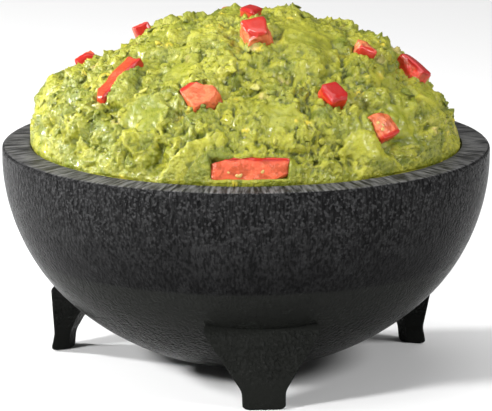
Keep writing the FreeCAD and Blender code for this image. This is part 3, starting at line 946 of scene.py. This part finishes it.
# Each piece's skin side, as axis (0 down the heap, 1 across it, 2 out of it) and direction, how
# ripe it is from pale 0 to deep red 1, how many seeds show, and the corners sliced off it: a
# direction (down, across, out), and how far from the middle as a share of the half size.
TOMATO_LOOKS = {
    1: (1, 1, 0.75, 0, [(-0.5, 0.2, 0.8, 1.0)]),
    2: (1, 1, 0.75, 0, [(-0.7, -0.4, 0.6, 0.9)]),
    3: (1, 1, 0.92, 0, [(0.9, -0.4, 0.2, 1.0), (-0.6, 0.0, 0.8, 1.05)]),
    4: (0, -1, 0.52, 0, [(-0.62, 0.78, 0.0, 0.55), (-0.3, -0.2, 0.9, 1.0), (0.8, 0.5, 0.3, 1.05)]),
    5: (2, 1, 0.90, 0, []),
    6: (2, 1, 0.42, 0, [(0.3, 0.9, 0.4, 0.95), (0.5, -0.6, 0.5, 1.2)]),
    7: (1, -1, 0.12, 0, [(0.6, 0.7, 0.3, 0.9)]),
    8: (2, 1, 1.00, 0, []),
    9: (2, 1, 0.95, 0, [(-0.7, -0.7, 0.0, 1.05), (0.7, 0.7, 0.0, 1.05)]),
    10: (0, 1, 0.40, 3, [(-0.7, 0.6, 0.2, 0.95)]),
    11: (0, -1, 0.64, 4, [(-0.7, -0.7, 0.3, 1.15), (0.5, 0.8, 0.2, 1.15)]),
    12: (2, 1, 0.80, 0, []),
    13: (1, 1, 0.55, 3, [(0.7, 0.6, 0.3, 0.9)]),
    14: (2, -1, 0.60, 0, [(-0.6, 0.7, 0.3, 0.9)]),
    15: (0, 1, 0.70, 0, [(0.6, -0.6, 0.5, 0.9)]),
    16: (2, 1, 0.90, 0, []),
    17: (1, -1, 0.50, 2, [(0.6, 0.6, 0.5, 0.9)]),
}


CUBE_STEPS = 20  # squares along each edge of a piece
EDGE_ROUND = 0.8
TRIM = 0.5  # each piece is this much smaller than its block, to leave room to bulge
SEED_HALF = np.array([1.2, 0.75, 0.45])
FRONT_STRIP = 11  # the long piece by the rim in front, whose seeds lie on its lower half


def cube_surface(steps):
    """The surface of a cube from -1 to 1 as shared points and quads."""
    index, faces = {}, []
    for axis, end, a, b in np.ndindex(3, 2, steps, steps):
        corners = [(a, b), (a + 1, b), (a + 1, b + 1), (a, b + 1)]
        if end == 0:
            corners.reverse()
        face = []
        for first, second in corners:
            place = (end * steps, first, second)
            place = place[-axis:] + place[:-axis]
            face.append(index.setdefault(place, len(index)))
        faces.append(tuple(face))
    return 2.0 * np.array(list(index)) / steps - 1.0, faces


def seed_mesh(middle, turned, half):
    """A flat, pointed seed."""
    rings, count = 6, 10
    rise = np.linspace(-1.0, 1.0, rings)
    turn = np.linspace(0, 2 * pi, count, endpoint=False)
    points = []
    for level in rise:
        waist = sqrt(max(1.0 - level * level, 0.02)) * (1.0 - 0.35 * level)
        for angle in turn:
            points.append([level, waist * cos(angle), waist * sin(angle)])
    points = np.array(points) * half @ turned + middle
    faces = [face[::-1] for face in ring_faces(rings, count)]
    faces += [tuple(range(count)), tuple(range(len(points) - 1, len(points) - count - 1, -1))]
    return points, faces


def make_tomato(name, block, material):
    """One diced piece: uneven cut flesh, a bulging strip of skin, and seeds where they show."""
    number = int(name[-2:])
    axis, way, ripe, seeds, slices = TOMATO_LOOKS[number]
    source, noise = np.random.default_rng(TOMATO_SEED + number), Noise(FLESH_SEED + number)
    cube, faces = cube_surface(CUBE_STEPS)
    half = block.half
    inner = np.clip(cube * half, EDGE_ROUND - half, half - EDGE_ROUND)
    points = inner + unit(cube * half - inner) * EDGE_ROUND
    share = points / half

    # cut out of square and sliced, with a bulging skin and uneven flesh
    others = [line for line in range(3) if line != axis]
    for line in others:
        trimmed = 1.0 - TRIM / half[line]
        points[:, line] *= trimmed + source.uniform(-0.06, 0.06) * share[:, axis]
    points[:, others[0]] += source.uniform(-0.10, 0.10) * points[:, others[1]]
    for down, across, out, limit in slices:
        facing = unit(np.array([down, across, out]))
        over = (points / half) @ facing - limit
        points -= np.maximum(over, 0.0)[:, None] * facing * half
    towards_skin = share[:, axis] * way
    skin_side = smooth_step(half[axis] - 1.4, half[axis] - 0.6, towards_skin * half[axis])
    crown = (1 - share[:, others[0]] ** 2) * (1 - share[:, others[1]] ** 2)
    points[:, axis] += way * skin_side * (0.8 * crown - 0.5)
    cut = 1.0 - 0.75 * skin_side
    uneven = 0.80 * noise.vectors(points, 6.0) + 0.35 * noise.vectors(points, 2.0)
    points += cut[:, None] * uneven
    points = np.clip(points, -half, half)
    values = {
        "skin": smooth_step(half[axis] - 2.2, half[axis] - 1.5, towards_skin * half[axis]),
        "core": smooth_step(-0.9, 0.6, -towards_skin),
        "seed": np.zeros(len(points)),
        "ripe": np.full(len(points), ripe),
    }
    total = len(points)
    parts = [points]
    for _ in range(seeds):
        place = source.uniform(-0.6, 0.6, 3) * half
        place[2] = half[2] - 0.9
        if number == FRONT_STRIP:
            place[0] = abs(place[0])
        turned = turned_axes(source.uniform(0, pi))
        seed, seed_faces = seed_mesh(place, turned, SEED_HALF)
        faces += [tuple(vertex + total for vertex in face) for face in seed_faces]
        parts.append(seed)
        total += len(seed)
        fills = {"skin": 0.0, "core": 0.5, "seed": 1.0, "ripe": ripe}
        values = padded(values, len(seed), fills)
    points = np.concatenate(parts) @ block.axes + block.middle
    add_piece(name + "_dice", points, faces, "filling", material, [name], values)


FLESH_UNRIPE, FLESH_RIPE = (0.76, 0.27, 0.13), (0.62, 0.022, 0.010)
VEIN, GEL, PATCH = (0.78, 0.27, 0.13), (0.56, 0.14, 0.014), (0.36, 0.055, 0.012)
PEEL_UNRIPE, PEEL_RIPE = (0.50, 0.035, 0.018), (0.36, 0.010, 0.008)
SEED_COLOUR = (0.58, 0.36, 0.11)
FLESH_SCATTER = (1.0, 0.25, 0.12)


def tomato_material():
    """Wet cut tomato: deep red glossy skin, orange-red flesh with paler veins and darker patches,
    and cream seeds."""
    shader = Shader("tomato")
    ramp, times, mix, noise, bump = shader.ramp, shader.times, shader.mix, shader.noise, shader.bump
    skin, core, seed, ripe = (shader.value(name) for name in ("skin", "core", "seed", "ripe"))
    veins = noise(2.8, 4.0, distortion=1.2)
    flesh = mix(ripe, FLESH_UNRIPE, FLESH_RIPE)
    pale = times(ramp(veins, 0.50, 0.75), ramp(ripe, 0.2, 1.0, 0.75, 0.25))
    flesh = mix(pale, flesh, VEIN)
    gel = times(core, ramp(ripe, 0.3, 0.7, 0.55, 0.15))
    flesh = mix(gel, flesh, GEL)
    deep = times(ramp(noise(4.0, 2.0), 0.46, 0.60), 0.70)
    flesh = mix(deep, flesh, PATCH)
    peel = mix(ripe, PEEL_UNRIPE, PEEL_RIPE)
    colour = mix(skin, flesh, peel)
    colour = mix(seed, colour, SEED_COLOUR)
    grain = noise(0.9, 3.0)
    normal = bump(grain, 0.45, ramp(skin, 0.0, 1.0, 0.9, 0.2))
    rough = ramp(skin, 0.0, 1.0, 0.24, 0.20)
    return shader.finish(
        Base_Color=colour, Roughness=rough, Normal=normal, Subsurface_Weight=0.20,
        Subsurface_Scale=0.003, Subsurface_Radius=FLESH_SCATTER, Specular_IOR_Level=0.50)


# -------- camera, light and floor

AZIMUTH, ELEVATION = radians(-5.0), radians(11.8)
CAMERA_DISTANCE = 6.09  # in metres: a long lens from well away
SIGHT_HEIGHT = 68.3  # height on the bowl's axis that the picture is centred on, in mm
PICTURE_WIDTH = 205.0  # width at the bowl's axis that fills the picture, in mm
LIGHTS_AIM = (0.0, 0.0, 0.10)
FLOOR_REACH = 14.0  # in metres
FLOOR_TONE = 0.78
SKY_STRENGTH = 0.19

# Name, place and width in metres, power in watts.
LIGHTS = [
    ("overhead", (0.0, 0.1, 2.2), 2.0, 24.0),
    ("key", (-0.88, -0.66, 0.66), 0.24, 18.0),
    ("edge", (-0.95, 0.32, 0.50), 0.14, 15.0),
    ("side", (0.80, -0.62, 0.76), 0.40, 9.5),
]


def make_camera():
    data = bpy.data.cameras.new("camera")
    data.sensor_width = 36.0
    data.lens = data.sensor_width * CAMERA_DISTANCE / (PICTURE_WIDTH * MM)
    camera = placed("camera", data)
    target = Vector((0.0, 0.0, SIGHT_HEIGHT * MM))
    level = cos(ELEVATION)
    back = Vector((sin(AZIMUTH) * level, -cos(AZIMUTH) * level, sin(ELEVATION)))
    camera.location = target + back * CAMERA_DISTANCE
    camera.rotation_mode = "QUATERNION"
    camera.rotation_quaternion = (-back).to_track_quat("-Z", "Y")
    data.clip_start, data.clip_end = 0.1, 60.0
    scene.camera = camera


def area_light(name, place, size, power):
    data = bpy.data.lights.new(name, "AREA")
    data.shape = "DISK"
    data.size = size
    data.energy = power
    light = placed(name, data)
    light.location = place
    light.rotation_euler = (Vector(LIGHTS_AIM) - light.location).to_track_quat("-Z", "Y").to_euler()


def make_studio():
    """A pale floor under an even sky, and four soft lights: one overhead, a key from the front left,
    an edge light from behind on the left, and a side light from the front right."""
    reach = FLOOR_REACH
    mesh = bpy.data.meshes.new("floor")
    corners = [(-reach, -reach, 0), (reach, -reach, 0), (reach, reach, 0), (-reach, reach, 0)]
    mesh.from_pydata(corners, [], [(0, 1, 2, 3)])
    floor = placed("floor", mesh)
    shader = Shader("pale_floor")
    mesh.materials.append(shader.finish(Base_Color=(*(FLOOR_TONE,) * 3, 1.0), Roughness=0.9,
                                        Specular_IOR_Level=0.1))

    world = bpy.data.worlds.new("studio")
    world.use_nodes = True
    sky = world.node_tree.nodes["Background"]
    sky.inputs["Color"].default_value = (1.0, 1.0, 1.0, 1.0)
    sky.inputs["Strength"].default_value = SKY_STRENGTH
    scene.world = world
    scene.view_settings.view_transform = "Standard"

    for light in LIGHTS:
        area_light(*light)


# -------- build

make_camera()
make_studio()

charcoal = charcoal_material()
make_bowl(charcoal)
for leg in LEG_BEARINGS:
    make_leg(leg, charcoal)
make_guacamole(guacamole_material())
tomato_red = tomato_material()
for dice_name, dice in BLOCKS.items():
    make_tomato(dice_name, dice, tomato_red)
